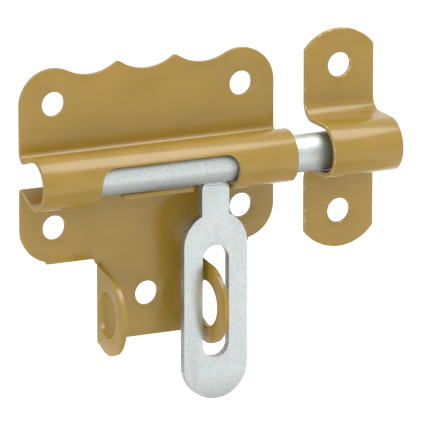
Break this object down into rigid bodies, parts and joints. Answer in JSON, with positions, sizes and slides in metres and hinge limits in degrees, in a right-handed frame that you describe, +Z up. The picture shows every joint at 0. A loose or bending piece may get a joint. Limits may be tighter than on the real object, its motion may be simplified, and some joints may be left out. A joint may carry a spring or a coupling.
{
  "type": "barrel bolt",
  "caption": "Barrel bolt for a door or gate: pressed case with padlock ears, sliding round bar, slotted hasp and separate keeper.",
  "frame": {"origin": "middle of the case's four screw holes, in the wall plane Y = 0 that the backs of the case and the keeper share", "axes": "+X along the bolt towards the keeper, +Z up, -Y away from the wall"},
  "size_m": [0.1014, 0.0193, 0.093],
  "materials": {
    "gold_enamel": "satin gold stove enamel",
    "zinc_plate": "bright zinc plating, faintly mottled"
  },
  "bodies": {
    "mounting": {"case_plate": "gold_enamel", "keeper_strap": "gold_enamel"},
    "bolt": {"bolt_bar": "zinc_plate"},
    "hasp": {"hasp_plate": "zinc_plate"}
  },
  "joints": [
    {"name": "bolt_throw", "type": "slide", "parent": "mounting", "child": "bolt", "axis": [1, 0, 0], "range_m": [-0.025, 0]},
    {"name": "hasp_lift", "type": "hinge", "parent": "bolt", "child": "hasp", "pos_m": [0.015, -0.0094, -0.002], "axis": [-1, 0, 0], "range_deg": [0, 110]}
  ],
  "couplings": [
    {"joint": "bolt_throw", "follows": "hasp_lift", "m_per_rad": -0.01302}
  ]
}
